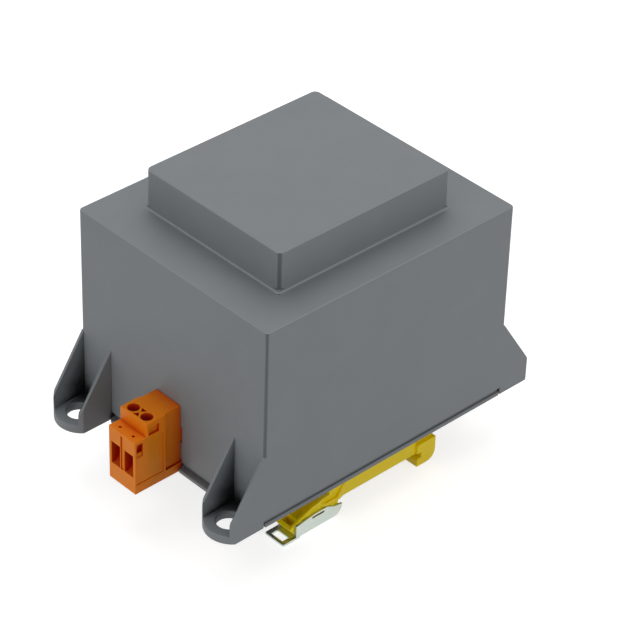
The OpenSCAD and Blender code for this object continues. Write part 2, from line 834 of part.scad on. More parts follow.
// Side outline of the guide, with a leaning end and a rim that rises to the strip
module guide_outline() {
    polygon([[guide_x, guide_z], [guide_end, guide_z],
        [guide_end - trough_lean, guide_z + trough_rise], trough_knee,
        [strip_end, -strip_drop], [guide_x, -strip_drop]]);
}

// Trough in the top of the guide: shallow over the spring, deep at the free end
module guide_trough() {
    over_spring = pocket_top + trough_wall;
    deep_x = catch_left - slider_travel - trough_wall;
    lean = trough_lean / trough_rise;
    wall_x = trough_wall * sqrt(1 + lean * lean);
    floor_z = guide_z + trough_wall;
    end_x = guide_end - trough_lean + wall_x;
    across(strip_width - 2 * trough_wall) {
        polygon([[end_x, -strip_drop], [end_x, guide_z + trough_rise],
            [end_x + lean * (guide_z + trough_rise - floor_z), floor_z], [deep_x, floor_z],
            [deep_x, -strip_drop]]);
        polygon([[deep_x - eps, over_spring], [strip_end, over_spring],
            [strip_end, -strip_drop + eps], [deep_x - eps, -strip_drop + eps]]);
    }
}

// Shoulder over the slider tips, flared out to the width of the slider
module guide_shoulder() {
    half = foot_width / 2;
    inner = strip_width / 2 - eps;
    flare_start = guide_x + 3.1;
    flare_end = guide_x - 0.2;
    rear = guide_x - shoulder_length;
    bottom = seat_z + seat_relief;
    crest = seat_z + shoulder_crest;
    top = seat_z + guide_shoulder_h;
    intersection() {
        across(foot_width + 2 * eps)
            polygon([[rear, bottom], [flare_start, bottom], [flare_start, crest],
                [guide_x + 1.5, crest], [guide_x + 1.5 - shoulder_crest + guide_shoulder_h, top],
                [rear, top]]);
        translate([0, 0, seat_z]) linear_extrude(shoulder_crest) for (my = [0, 1])
            mirror([0, my]) polygon([[flare_start, inner], [flare_start, strip_width / 2],
                [flare_end, half], [rear + 1.5, half], [rear, strip_width / 2], [rear, inner]]);
    }
}

// Row of hollow cells between two places on the strip
module cells(from, to, count) {
    rib = 1.2;
    half = strip_width / 2 - foot_wall;
    cell = (to - from - rib * (count - 1)) / count;
    for (i = [0:count - 1])
        translate([from + i * (cell + rib), 0, 0])
            span([0, -half, seat_z + floor_thickness], [cell, half, eps]);
}

module foot_hollows() {
    boss = foot_screw_head_d / 2 + foot_wall;
    cells(foot_screw_x[0] + boss, foot_screw_x[1] - boss, 2);
    cells(foot_screw_x[1] + boss, hook_end - foot_wall, 1);
    cells(strip_end + foot_wall, foot_screw_x[0] - boss, 1);
}

module slider_grooves() {
    depth = catch_reach + fit_gap;
    for (my = [0, 1]) mirror([0, my, 0])
        span([catch_left - slider_travel - fit_gap, strip_width / 2 - depth,
            catch_top - slider_sheet - fit_gap],
            [catch_right + fit_gap, foot_width / 2 + eps, catch_top + catch_slot]);
}

module spring_pocket() {
    span([pocket_x, -pocket_half, guide_z - eps], [nose_x + 1, pocket_half, pocket_top]);
}

module foot_screw_holes() {
    for (x = foot_screw_x) translate([x, 0, 0]) {
        translate([0, 0, seat_z - eps])
            cylinder(h = foot_screw_seat - seat_z + eps, d = foot_screw_head_d + 0.4);
        translate([0, 0, seat_z]) cylinder(h = foot_height + eps, d = foot_screw_d + 0.2);
    }
}

module rail_foot() {
    difference() {
        union() {
            across(strip_width) strip_outline();
            across(foot_width) hook_outline();
            across(strip_width) guide_outline();
            guide_shoulder();
        }
        across(foot_width + 2 * eps) polygon([[hook_x - eps, seat_z - rail_slot - 0.6 - eps],
            [hook_x + 0.6, seat_z - rail_slot], [hook_x + hook_slot_depth, seat_z - rail_slot],
            [hook_x + hook_slot_depth, seat_z + seat_relief], [hook_x - eps, seat_z + seat_relief]]);
        hook_ledge_cuts();
        foot_hollows();
        guide_trough();
        slider_grooves();
        spring_pocket();
        foot_screw_holes();
    }
}

// Side outline of the slider: straight back, rising tip and a round nose below it
module slider_outline() {
    tip_end = nose_x + sqrt(pow(nose_radius, 2) - pow(nose_z - tip_top, 2));
    polygon(concat([[flange_end, web_z], [nose_x, web_z]],
        [for (p = arc(nose_x, nose_z, nose_radius, -90, asin((tip_top - nose_z) / nose_radius), 8)) p],
        [[tip_end - 3.4, tip_top + 0.4], [tip_end - 6.7, flange_top],
            [catch_left + 1, flange_top - flange_dip], [flange_end, flange_top - flange_fall]]));
}

// Cross section of the folded channel with rounded folds
module channel_outline() {
    half = foot_width / 2;
    top = flange_top + 1;
    inner = half - slider_sheet;
    fold = 1;
    polygon(concat([[half, top]], arc(half - fold, web_z + fold, fold, 0, -90),
        arc(fold - half, web_z + fold, fold, 270, 180), [[-half, top], [-inner, top],
        [-inner, web_top], [inner, web_top], [inner, top]]));
}

module rail_slider() {
    half = foot_width / 2;
    window_half = half - 1.8;
    difference() {
        intersection() {
            translate([(flange_end + tip_x) / 2, 0, 0]) along(tip_x - flange_end + 2)
                channel_outline();
            across(foot_width) slider_outline();
        }
        span([nose_x, -half + slider_sheet, web_z - eps],
            [tip_x + eps, half - slider_sheet, web_top + eps]);
        for (my = [0, 1]) mirror([0, my, 0])
            span([catch_left, half - slider_sheet - eps, catch_top],
                [catch_right, half + eps, catch_top + catch_slot]);
    }
    for (my = [0, 1]) mirror([0, my, 0])
        span([catch_left, half - slider_sheet - fit_gap - catch_reach, catch_top - slider_sheet],
            [catch_right, half - slider_sheet + eps, catch_top]);
    span([push_tab_x, -push_tab_half, web_top - eps],
        [push_tab_x + slider_sheet, push_tab_half, web_top + push_tab_height]);
    difference() {
        translate([0, 0, web_z]) linear_extrude(slider_sheet)
            translate([(tab_end + flange_end + 2) / 2, 0])
                polygon(rounded_rect(flange_end + 2 - tab_end, foot_width, 0.6));
        span([tab_end + 1.2, -window_half, web_z - eps],
            [flange_end - 1.6, window_half, web_top + eps]);
    }
}

// Compression spring between the pocket wall and the push tab
module slider_spring() {
    r = (spring_d - spring_wire) / 2;
    x0 = pocket_x + spring_wire / 2;
    length = push_tab_x - pocket_x - spring_wire;
    steps = 14;
    path = [for (i = [0:spring_turns * steps]) let (a = 360 * i / steps)
        [x0 + length * i / (spring_turns * steps), r * cos(a), spring_z + r * sin(a)]];
    wire(path, spring_wire / 2, 6);
}

module foot_screws() {
    for (x = foot_screw_x) translate([x, 0, 0]) difference() {
        union() {
            translate([0, 0, foot_screw_seat - foot_screw_head_h])
                cylinder(h = foot_screw_head_h, d = foot_screw_head_d);
            translate([0, 0, foot_screw_seat - eps])
                cylinder(h = foot_screw_length + eps, d = foot_screw_d - fit_gap);
        }
        for (turn = [0, 90]) rotate([0, 0, turn])
            translate([0, 0, foot_screw_seat - foot_screw_head_h])
                cube([3, 0.7, 2], center = true);
    }
}

module front_rail_foot() color("#d8c21c") translate([0, -foot_y, 0]) rail_foot();
module front_foot_screws() color("#b9bdc0") translate([0, -foot_y, 0]) foot_screws();
module front_rail_slider() color("#c3cbce") translate([0, -foot_y, 0]) rail_slider();
module front_slider_spring() color("#9fa4a8") translate([0, -foot_y, 0]) slider_spring();
module rear_rail_foot() color("#d8c21c") translate([0, foot_y, 0]) rail_foot();
module rear_foot_screws() color("#b9bdc0") translate([0, foot_y, 0]) foot_screws();
module rear_rail_slider() color("#c3cbce") translate([0, foot_y, 0]) rail_slider();
module rear_slider_spring() color("#9fa4a8") translate([0, foot_y, 0]) slider_spring();

case_shell();
base_plate();
core_e_stack();
core_i_stack();
coil_bobbin();
primary_winding();
secondary_winding();
primary_tape();
secondary_tape();
potting_compound();
primary_leads();
secondary_leads();
mains_terminal_housing();
mains_clamp_screw_1();
mains_clamp_screw_2();
mains_clamp_cage_1();
mains_clamp_cage_2();
mains_contact_bar_1();
mains_contact_bar_2();
load_terminal_housing();
load_clamp_screw_1();
load_clamp_screw_2();
load_clamp_cage_1();
load_clamp_cage_2();
load_contact_bar_1();
load_contact_bar_2();
front_rail_foot();
front_foot_screws();
front_rail_slider();
front_slider_spring();
rear_rail_foot();
rear_foot_screws();
rear_rail_slider();
rear_slider_spring();
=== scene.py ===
"""Studio scene of an encapsulated mains transformer with clamp terminals and rail feet.

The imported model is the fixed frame. Each sub-assembly has a class that builds its pieces
over that frame, dresses them in finishes named for the real material and how it was made,
and rides them on the bodies they belong to. Everything is in metres.
"""

from __future__ import annotations

import json
import logging
import math
from dataclasses import dataclass, field
from enum import Enum
from typing import Any, Callable, Sequence

import bmesh
import bpy
from mathutils import Matrix, Vector

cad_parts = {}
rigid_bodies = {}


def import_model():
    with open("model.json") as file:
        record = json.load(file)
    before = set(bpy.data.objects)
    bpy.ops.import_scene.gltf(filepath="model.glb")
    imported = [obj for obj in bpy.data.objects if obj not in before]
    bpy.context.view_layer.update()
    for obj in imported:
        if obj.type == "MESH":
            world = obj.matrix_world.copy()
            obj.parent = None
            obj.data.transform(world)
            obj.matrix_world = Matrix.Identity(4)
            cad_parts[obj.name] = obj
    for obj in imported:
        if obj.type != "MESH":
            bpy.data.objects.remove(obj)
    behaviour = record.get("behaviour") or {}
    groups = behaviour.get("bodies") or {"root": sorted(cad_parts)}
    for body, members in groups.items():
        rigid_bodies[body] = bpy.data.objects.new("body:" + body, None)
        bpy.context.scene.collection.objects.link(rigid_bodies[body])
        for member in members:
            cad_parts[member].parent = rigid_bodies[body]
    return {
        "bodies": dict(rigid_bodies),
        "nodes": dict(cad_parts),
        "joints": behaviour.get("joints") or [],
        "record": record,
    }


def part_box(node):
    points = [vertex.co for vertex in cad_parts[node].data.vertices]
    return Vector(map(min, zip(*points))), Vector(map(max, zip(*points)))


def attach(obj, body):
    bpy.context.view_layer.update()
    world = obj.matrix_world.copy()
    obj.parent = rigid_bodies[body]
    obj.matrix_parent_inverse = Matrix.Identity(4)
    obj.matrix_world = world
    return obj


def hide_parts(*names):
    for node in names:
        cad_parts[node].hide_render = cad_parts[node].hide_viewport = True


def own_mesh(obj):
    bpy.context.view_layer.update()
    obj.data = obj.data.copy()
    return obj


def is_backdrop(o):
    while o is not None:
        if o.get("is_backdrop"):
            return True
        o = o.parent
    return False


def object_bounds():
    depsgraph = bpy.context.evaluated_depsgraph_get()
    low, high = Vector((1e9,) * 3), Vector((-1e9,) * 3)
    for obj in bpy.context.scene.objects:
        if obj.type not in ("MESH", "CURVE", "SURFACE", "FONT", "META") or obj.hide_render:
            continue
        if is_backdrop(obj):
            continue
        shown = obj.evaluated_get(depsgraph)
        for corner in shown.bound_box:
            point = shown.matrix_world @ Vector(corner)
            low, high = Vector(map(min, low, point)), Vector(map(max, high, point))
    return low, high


LOG = logging.getLogger("transformer")
MM = 0.001
# Points closer than this are one point, and a face this near a level lies in it
MERGE_MM = 0.002
LEVEL_MM = 0.01
# The floor lies this far below the part, so that no face of the part lies in it
FLOOR_GAP_MM = 0.2
# Sides of a swept round wire, points in one turn of a helix, and the seed of the sheets' stagger
WIRE_SIDES = 8
TURN_STEPS = 20
STAGGER_SEED = 11


class Body(Enum):
    """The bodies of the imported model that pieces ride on."""

    CASE = "case"
    FRONT_SLIDER = "front_slider"
    REAR_SLIDER = "rear_slider"


class Winding(Enum):
    """The two windings of the coil and the thickness of their wire in millimetres."""

    PRIMARY = ("primary_winding", 1.0)
    SECONDARY = ("secondary_winding", 1.8)


def linear(code: str) -> tuple[float, float, float, float]:
    """Turn an sRGB colour code into the linear colour that the shaders use.

    Args:
        code: Six hex digits, with or without a leading hash.

    Returns:
        Linear red, green, blue and an alpha of 1.
    """
    digits = code.lstrip("#")
    parts = [int(digits[i:i + 2], 16) / 255 for i in (0, 2, 4)]
    red, green, blue = (c / 12.92 if c <= 0.04045 else ((c + 0.055) / 1.055) ** 2.4 for c in parts)
    return red, green, blue, 1.0


def add_node(tree: bpy.types.NodeTree, kind: str, links: dict[str, Any] | None = None,
             inputs: dict[str, Any] | None = None, **settings: Any) -> bpy.types.Node:
    """Add one node to a tree with its settings, its values and its links.

    Args:
        tree: The shader or geometry tree.
        kind: The node's type name.
        links: Input name or number to the output socket that feeds it.
        inputs: Input name or number to its value.
        settings: Properties of the node itself.

    Returns:
        The new node.
    """
    node = tree.nodes.new(kind)
    for key, value in settings.items():
        setattr(node, key, value)
    for key, value in (inputs or {}).items():
        node.inputs[key].default_value = value
    for key, socket in (links or {}).items():
        tree.links.new(socket, node.inputs[key])
    return node


def new_material(name: str) -> tuple[bpy.types.Material, bpy.types.NodeTree, Any]:
    """Start a material.

    Args:
        name: The name of the finish.

    Returns:
        The material, its node tree and the output socket with object coordinates.
    """
    material = bpy.data.materials.new(name)
    material.use_nodes = True
    tree = material.node_tree
    tree.nodes.clear()
    coordinates = add_node(tree, "ShaderNodeTexCoord")
    return material, tree, coordinates.outputs["Object"]


@dataclass(frozen=True)
class MouldedPlastic:
    """Injection-moulded plastic from a spark-eroded tool: an even grain and a soft sheen.

    The grain breaks up highlights, and slow changes of tone follow how the melt cooled. Real
    eroded grain is under 0.1 mm, which is too fine to show, so it is drawn coarser.

    Attributes:
        colour, shade: The two tones that the cloud of cloud_mm mixes.
        grain_mm, grain_depth, bump_mm: Size, strength and height of the grain.
        glow_mm, glow_share, glow_reach: How far light spreads inside, for a waxy plastic.
        recess, painted_shade_mm, painted_shade_from, painted_shade_to: Tone of the painted shade in
        hollows, the distance within which walls count, and the open shares of the sky between which
        the tone changes.
        corner, rim, above_mm: Tones of the painted shade on upright corners and the painted
        highlight on upper rims, above a height.
    """

    name: str
    colour: str
    shade: str
    roughness: float = 0.5
    grain_mm: float = 0.35
    grain_depth: float = 0.25
    cloud_mm: float = 14.0
    glow_mm: float = 0.0
    # Painted shade: the tone that hollows darken to where near walls hide the sky
    painted_shade: str = ""
    painted_shade_mm: float = 4.0
    painted_shade_from: float = 0.3
    painted_shade_to: float = 0.9
    gloss: float = 0.5
    # Painted shade along upright corners and painted highlight along upper rims, above a height
    corner: str = ""
    rim: str = ""
    above_mm: float = 0.0
    roughness_spread: float = 0.06
    bump_mm: float = 0.05
    glow_share: float = 0.35
    glow_reach: tuple[float, float, float] = (1.0, 0.35, 0.08)
    # Normal measures over which the painted corner shade and painted rim highlight fade in
    painted_corner_band: tuple[float, float] = (0.3, 0.49)
    painted_rim_band: tuple[float, float] = (0.3, 0.1)

    def painted_edge_shares(self, tree: bpy.types.NodeTree, place: Any) -> tuple[Any, Any]:
        """Find the upright corners and the upper rims, which catch less and more of the light.

        A corner is where the normal's X and Y are both large, a rim where half of the normal's
        square is in Z.

        Args:
            tree: The material's node tree.
            place: The socket of the object coordinates.

        Returns:
            Two sockets, each 1 along the middle of such a rounding and 0 on the faces.
        """
        def reckon(kind: str, first: Any, second: Any = None, number: float = 0.0) -> Any:
            """Add one sum to the tree, with a socket or a number as its second value."""
            links = {0: first} if second is None else {0: first, 1: second}
            fixed = {1: number} if second is None else None
            return add_node(tree, "ShaderNodeMath", links, fixed, operation=kind).outputs[0]

        facing = add_node(tree, "ShaderNodeTexCoord")
        normal = add_node(tree, "ShaderNodeSeparateXYZ", {"Vector": facing.outputs["Normal"]})
        at = add_node(tree, "ShaderNodeSeparateXYZ", {"Vector": place})
        above = reckon("GREATER_THAN", at.outputs["Z"], number=self.above_mm * MM)
        upright = reckon("ABSOLUTE", reckon("MULTIPLY", normal.outputs["X"], normal.outputs["Y"]))
        square = reckon("MULTIPLY", normal.outputs["Z"], normal.outputs["Z"])
        slanted = reckon("ABSOLUTE", reckon("SUBTRACT", square, number=0.5))
        shares = []
        for value, (low, high) in ((upright, self.painted_corner_band), (slanted, self.painted_rim_band)):
            share = add_node(tree, "ShaderNodeMapRange", {"Value": value},
                             {"From Min": low, "From Max": high}, interpolation_type="SMOOTHSTEP")
            shares.append(reckon("MULTIPLY", share.outputs["Result"], above))
        return shares[0], shares[1]

    def make(self) -> bpy.types.Material:
        """Build the material.

        Returns:
            The material, whose patterns follow the object coordinates.
        """
        material, tree, place = new_material(self.name)
        cloud = add_node(tree, "ShaderNodeTexNoise", {"Vector": place},
                         {"Scale": 1 / (self.cloud_mm * MM), "Detail": 4.0, "Roughness": 0.6})
        grain = add_node(tree, "ShaderNodeTexNoise", {"Vector": place},
                         {"Scale": 1 / (self.grain_mm * MM), "Detail": 2.0})
        both = add_node(tree, "ShaderNodeMix", {"Factor": cloud.outputs["Fac"]}, data_type="RGBA")
        both.inputs[6].default_value = linear(self.colour)
        both.inputs[7].default_value = linear(self.shade)
        tone = both.outputs[2]
        # Painted shade: the tone darkens in hollows, where near walls hide the sky
        if self.painted_shade:
            open_sky = add_node(tree, "ShaderNodeAmbientOcclusion", None,
                                {"Distance": self.painted_shade_mm * MM}, samples=8)
            painted_shade_share = add_node(tree, "ShaderNodeMapRange", {"Value": open_sky.outputs["AO"]},
                            {"From Min": self.painted_shade_from, "From Max": self.painted_shade_to},
                            interpolation_type="SMOOTHSTEP")
            painted_shade_mix = add_node(tree, "ShaderNodeMix", {"Factor": painted_shade_share.outputs["Result"], 7: tone},
                              {6: linear(self.painted_shade)}, data_type="RGBA")
            tone = painted_shade_mix.outputs[2]
        # Painted shade on upright corners and painted highlight on upper rims, found by the normal
        if self.corner:
            for share, code in zip(self.painted_edge_shares(tree, place), (self.corner, self.rim)):
                painted_edge_mix = add_node(tree, "ShaderNodeMix", {"Factor": share, 6: tone},
                                 {7: linear(code)}, data_type="RGBA")
                tone = painted_edge_mix.outputs[2]
        rough = add_node(tree, "ShaderNodeMapRange", {"Value": grain.outputs["Fac"]},
                         {"To Min": self.roughness - self.roughness_spread,
                          "To Max": self.roughness + self.roughness_spread})
        bump = add_node(tree, "ShaderNodeBump", {"Height": grain.outputs["Fac"]},
                        {"Strength": self.grain_depth, "Distance": self.bump_mm * MM})
        shader = add_node(tree, "ShaderNodeBsdfPrincipled",
                          {"Base Color": tone, "Roughness": rough.outputs["Result"],
                           "Normal": bump.outputs["Normal"]},
                          {"IOR": 1.5, "Specular IOR Level": self.gloss})
        if self.glow_mm:
            shader.inputs["Subsurface Weight"].default_value = self.glow_share
            shader.inputs["Subsurface Radius"].default_value = self.glow_reach
            shader.inputs["Subsurface Scale"].default_value = self.glow_mm * MM
        add_node(tree, "ShaderNodeOutputMaterial", {"Surface": shader.outputs["BSDF"]})
        return material


@dataclass(frozen=True)
class PlatedMetal:
    """Plated or bare metal: a bright face with fine handling marks along one direction.

    Zinc plating is bright with a faint cloud, tumbled brass is warmer and duller. Real marks
    are under 0.1 mm wide, which is too fine to show, so they are drawn wider.

    Attributes:
        colour, shade: The two tones that the cloud of cloud_mm mixes.
        mark_mm, stretch, mark_depth, bump_mm: Size, direction, strength and height of the marks.
    """

    name: str
    colour: str
    shade: str
    roughness: float = 0.3
    mark_mm: float = 0.5
    stretch: tuple[float, float, float] = (0.15, 1.0, 1.0)
    cloud_mm: float = 5.0
    roughness_spread: float = 0.08
    mark_depth: float = 0.15
    bump_mm: float = 0.02

    def make(self) -> bpy.types.Material:
        """Build the material.

        Returns:
            The material, whose patterns follow the object coordinates.
        """
        material, tree, place = new_material(self.name)
        drawn = add_node(tree, "ShaderNodeMapping", {"Vector": place}, {"Scale": self.stretch})
        marks = add_node(tree, "ShaderNodeTexNoise", {"Vector": drawn.outputs["Vector"]},
                         {"Scale": 1 / (self.mark_mm * MM), "Detail": 3.0})
        cloud = add_node(tree, "ShaderNodeTexNoise", {"Vector": place},
                         {"Scale": 1 / (self.cloud_mm * MM), "Detail": 3.0})
        tone = add_node(tree, "ShaderNodeMix", {"Factor": cloud.outputs["Fac"]}, data_type="RGBA")
        tone.inputs[6].default_value = linear(self.colour)
        tone.inputs[7].default_value = linear(self.shade)
        rough = add_node(tree, "ShaderNodeMapRange", {"Value": marks.outputs["Fac"]},
                         {"To Min": self.roughness - self.roughness_spread,
                          "To Max": self.roughness + self.roughness_spread})
        bump = add_node(tree, "ShaderNodeBump", {"Height": marks.outputs["Fac"]},
                        {"Strength": self.mark_depth, "Distance": self.bump_mm * MM})
        shader = add_node(tree, "ShaderNodeBsdfPrincipled",
                          {"Base Color": tone.outputs[2], "Roughness": rough.outputs["Result"],
                           "Normal": bump.outputs["Normal"]}, {"Metallic": 1.0})
        add_node(tree, "ShaderNodeOutputMaterial", {"Surface": shader.outputs["BSDF"]})
        return material


# Glass-filled nylon case: mid grey with a slight blue, matt from the eroded tool. Its pockets get
# painted shade, its upright corners a line of painted shade, its upper rims a painted highlight.
CASE_GREY = MouldedPlastic("glass_filled_nylon_moulded_grey", "#83888b", "#7b8083", 0.55,
                           painted_shade="#0a0b0c", painted_shade_mm=14.0, painted_shade_from=0.38, painted_shade_to=0.51,
                           gloss=0.35, corner="#5a5e61", rim="#94999c", above_mm=27.8)
# The plate is the same nylon from another tool, a touch darker
PLATE_GREY = MouldedPlastic("glass_filled_nylon_plate_grey", "#777b7e", "#6f7376", 0.58)
# Terminal block: orange nylon with the satin face of a polished tool, painted red shade in hollows
TERMINAL_ORANGE = MouldedPlastic("nylon_moulded_orange", "#f78c08", "#e97f06", 0.45, 0.3, 0.15, 6.0,
                                 glow_mm=1.2, painted_shade="#c41804", painted_shade_mm=11.0, painted_shade_from=0.2,
                                 painted_shade_to=0.88, gloss=0.2)
# Rail foot: yellow nylon, slightly waxy, so that light spreads in its thin walls
FOOT_YELLOW = MouldedPlastic("nylon_moulded_yellow", "#ffe200", "#f8d600", 0.4, 0.3, 0.15, 6.0,
                             glow_mm=1.5, gloss=0.3)
# Bobbin: uncoloured nylon
BOBBIN_NATURAL = MouldedPlastic("nylon_moulded_natural", "#e6e3d6", "#dcd8c8", 0.45)
# Filled casting resin: near black, glossy where it set against the case
POTTING_BLACK = MouldedPlastic("casting_resin_black", "#2c2b2a", "#242322", 0.3, 1.2, 0.1)
# Polyester film tape: smooth and slightly glossy
TAPE_YELLOW = MouldedPlastic("polyester_tape_yellow", "#d9be44", "#ccb03a", 0.3, 2.0, 0.08)
# Soft insulation of the lead wires
LEAD_BLUE = MouldedPlastic("soft_insulation_blue", "#2c4a9c", "#27428c", 0.5, 0.3, 0.1)
LEAD_RED = MouldedPlastic("soft_insulation_red", "#ab2420", "#9a1e1b", 0.5, 0.3, 0.1)
# Enamelled copper: clear brown-red enamel over drawn wire
ENAMELLED_COPPER = PlatedMetal("copper_wire_enamelled", "#b8602c", "#9c4c20", 0.28)
# Annealed silicon steel: dull blue-grey scale on sheared edges
SILICON_STEEL = PlatedMetal("silicon_steel_annealed", "#5a5e64", "#484b50", 0.5)
# Zinc plating on turned screws
ZINC_SCREW = PlatedMetal("steel_screw_zinc_plated", "#d3d6d8", "#bfc3c6", 0.28, 0.3)
# Zinc plating on pressed sheet: bright, with a faint blue
ZINC_SHEET = PlatedMetal("steel_sheet_zinc_plated", "#cdd6cf", "#bcc5be", 0.3)
# Tumbled brass of the clamp cages
CAGE_BRASS = PlatedMetal("brass_tumbled", "#c9ad62", "#b5974e", 0.35)
# Tin plating over copper alloy
TINNED_BAR = PlatedMetal("copper_alloy_tinned", "#cfc6b8", "#b9ae9c", 0.35)
# Drawn spring wire, lightly oiled
SPRING_WIRE = PlatedMetal("spring_wire_drawn", "#9a9fa4", "#83888d", 0.3, 0.2)


def plain_copy(node: bpy.types.Object, name: str, dissolve_deg: float = 0.6) -> bpy.types.Object:
    """Copy a node's solid into a clean mesh of merged, flat faces.

    Args:
        node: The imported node.
        name: Name of the new object.
        dissolve_deg: Largest angle between faces that are joined into one.

    Returns:
        The new object, linked to the scene.
    """
    mesh = node.data.copy()
    mesh.name = name
    mesh.materials.clear()
    work = bmesh.new()
    work.from_mesh(mesh)
    bmesh.ops.remove_doubles(work, verts=work.verts, dist=MERGE_MM * MM)
    bmesh.ops.dissolve_limit(work, angle_limit=math.radians(dissolve_deg), verts=work.verts,
                             edges=work.edges)
    work.to_mesh(mesh)
    work.free()
    piece = bpy.data.objects.new(name, mesh)
    bpy.context.scene.collection.objects.link(piece)
    return piece


def bake(piece: bpy.types.Object) -> None:
    """Turn an object with modifiers into a plain mesh.

    Args:
        piece: The object, whose modifiers are removed.
    """
    graph = bpy.context.evaluated_depsgraph_get()
    mesh = bpy.data.meshes.new_from_object(piece.evaluated_get(graph))
    piece.modifiers.clear()
    piece.data = mesh


def edge_room(edge: bmesh.types.BMEdge, straight_deg: float = 150.0,
              share: float = 0.3) -> float:
    """Return how wide an edge can be rounded before its neighbours are used up.

    Args:
        edge: The edge.
        straight_deg: Neighbours that go on straighter than this don't count.
        share: Share of a neighbour's length that the rounding may take.

    Returns:
        The width in metres.
    """
    room = math.inf
    for corner in edge.verts:
        along = edge.other_vert(corner).co - corner.co
        for other in corner.link_edges:
            away = other.other_vert(corner).co - corner.co
            if other != edge and along.angle(away, 0.0) < math.radians(straight_deg):
                room = min(room, share * away.length)
    return room


def soften(piece: bpy.types.Object, width_mm: float, segments: int = 2,
           angle_deg: float = 32.0) -> None:
    """Round the sharp outer edges of a piece, as a mould or a press leaves them.

    Args:
        piece: The object to round.
        width_mm: Width of the rounding where there is room for it.
        segments: Faces across the rounding.
        angle_deg: Edges sharper than this are rounded.
    """
    width = width_mm * MM
    low, high = ([pick(v.co[axis] for v in piece.data.vertices) for axis in range(3)]
                 for pick in (min, max))
    work = bmesh.new()
    work.from_mesh(piece.data)
    weight = work.edges.layers.float.new("bevel_weight_edge")
    for edge in work.edges:
        if edge.is_convex and edge.calc_face_angle() > math.radians(angle_deg):
            edge[weight] = min(1.0, edge_room(edge) / width)
    work.to_mesh(piece.data)
    work.free()
    bevel = piece.modifiers.new("rounding", "BEVEL")
    bevel.width = width
    bevel.segments = segments
    bevel.limit_method = "WEIGHT"
    bevel.use_clamp_overlap = False
    bake(piece)
    for corner in piece.data.vertices:
        corner.co = [min(max(c, a), b) for c, a, b in zip(corner.co, low, high)]
    piece.data.shade_smooth()
    piece.data.set_sharp_from_angle(angle=math.radians(angle_deg))
    flat = piece.modifiers.new("flat_faces", "WEIGHTED_NORMAL")
    flat.weight = 100
    flat.keep_sharp = True
    bake(piece)


def dress(piece: bpy.types.Object, material: bpy.types.Material) -> None:
    """Give a piece one material.

    Args:
        piece: The object to dress.
        material: The material it takes.
    """
    piece.data.materials.clear()
    piece.data.materials.append(material)


@dataclass
class NodeRecipe:
    """A geometry tree with named inputs for its sizes, which ends in plain, dressed mesh."""

    name: str
    sizes: dict[str, str]

    def __post_init__(self) -> None:
        """Start the tree with its inputs, its output and its group nodes."""
        self.tree = bpy.data.node_groups.new(self.name, "GeometryNodeTree")
        face = self.tree.interface
        face.new_socket("Geometry", in_out="OUTPUT", socket_type="NodeSocketGeometry")
        face.new_socket("Geometry", in_out="INPUT", socket_type="NodeSocketGeometry")
        self.keys = {key: face.new_socket(key, in_out="INPUT", socket_type=kind).identifier
                     for key, kind in {**self.sizes, "Material": "NodeSocketMaterial"}.items()}
        self.given = self.tree.nodes.new("NodeGroupInput").outputs

    def close(self, geometry: bpy.types.NodeSocket) -> None:
        """End the tree.

        Args:
            geometry: The socket with the finished shape.
        """
        real = add_node(self.tree, "GeometryNodeRealizeInstances", {"Geometry": geometry})
        dressed = add_node(self.tree, "GeometryNodeSetMaterial",
                           {"Geometry": real.outputs[0], "Material": self.given["Material"]})
        add_node(self.tree, "NodeGroupOutput", {"Geometry": dressed.outputs[0]})

    def apply(self, piece: bpy.types.Object, material: bpy.types.Material, **sizes: float) -> None:
        """Run the tree on a piece and leave a plain mesh.

        Args:
            piece: The piece that holds what the tree starts from.
            material: The material of the result.
            sizes: A value for each input.
        """
        modifier = piece.modifiers.new(self.name, "NODES")
        modifier.node_group = self.tree
        for key, value in {**sizes, "Material": material}.items():
            modifier[self.keys[key]] = value
        bake(piece)
        LOG.info("%s: %d faces from %s", piece.name, len(piece.data.polygons), self.name)


def stacked_sheets() -> NodeRecipe:
    """Make the tree that stacks one sheet many times, each a little out of line.

    Returns:
        The recipe with the inputs Sheets, Pitch and Stagger.
    """
    recipe = NodeRecipe("stacked_sheets", {"Sheets": "NodeSocketInt", "Pitch": "NodeSocketFloat",
                                           "Stagger": "NodeSocketFloat"})
    tree, given = recipe.tree, recipe.given
    step = add_node(tree, "ShaderNodeCombineXYZ", {"Z": given["Pitch"]})
    line = add_node(tree, "GeometryNodeMeshLine",
                    {"Count": given["Sheets"], "Offset": step.outputs[0]})
    back = add_node(tree, "ShaderNodeMath", {0: given["Stagger"]}, {1: -1.0}, operation="MULTIPLY")
    low = add_node(tree, "ShaderNodeCombineXYZ", {"X": back.outputs[0], "Y": back.outputs[0]})
    high = add_node(tree, "ShaderNodeCombineXYZ", {"X": given["Stagger"], "Y": given["Stagger"]})
    chance = add_node(tree, "FunctionNodeRandomValue", {0: low.outputs[0], 1: high.outputs[0]},
                      {"Seed": STAGGER_SEED}, data_type="FLOAT_VECTOR")
    moved = add_node(tree, "GeometryNodeSetPosition",
                     {"Geometry": line.outputs[0], "Offset": chance.outputs[0]})
    stack = add_node(tree, "GeometryNodeInstanceOnPoints",
                     {"Points": moved.outputs[0], "Instance": given["Geometry"]})
    recipe.close(stack.outputs[0])
    return recipe


